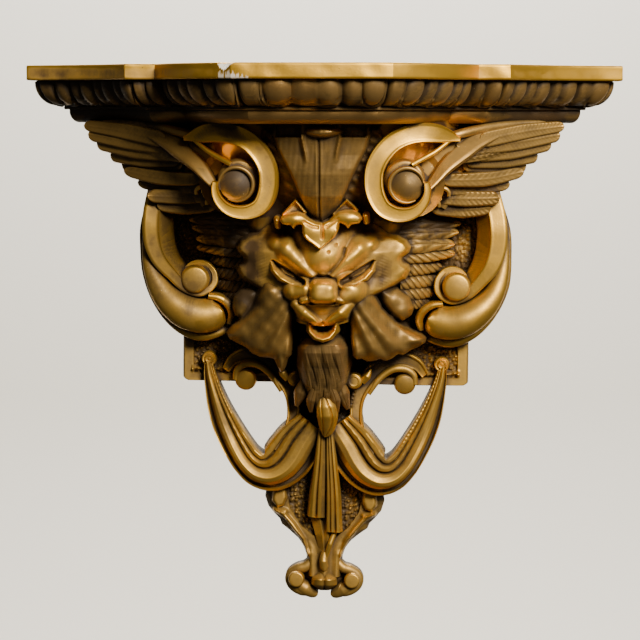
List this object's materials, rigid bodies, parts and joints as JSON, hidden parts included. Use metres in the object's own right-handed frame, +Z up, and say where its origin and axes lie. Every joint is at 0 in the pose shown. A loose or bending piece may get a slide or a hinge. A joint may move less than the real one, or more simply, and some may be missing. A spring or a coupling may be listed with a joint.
{
  "type": "wall bracket shelf",
  "caption": "Gilt plaster wall bracket: a moulded shelf with an egg band, carried by volutes, wings and a leafy grotesque mask over two swags.",
  "frame": {"origin": "on the flat back, on the centre line, 60 mm under the shelf's top", "axes": "+Z up, +X to the right as seen from the front, the front faces -Y and the wall is the plane y = 0"},
  "size_m": [0.453, 0.178, 0.4133],
  "materials": {
    "gilt_plaster": "satin"
  },
  "bodies": {
    "root": {"bracket": "gilt_plaster"}
  },
  "joints": []
}
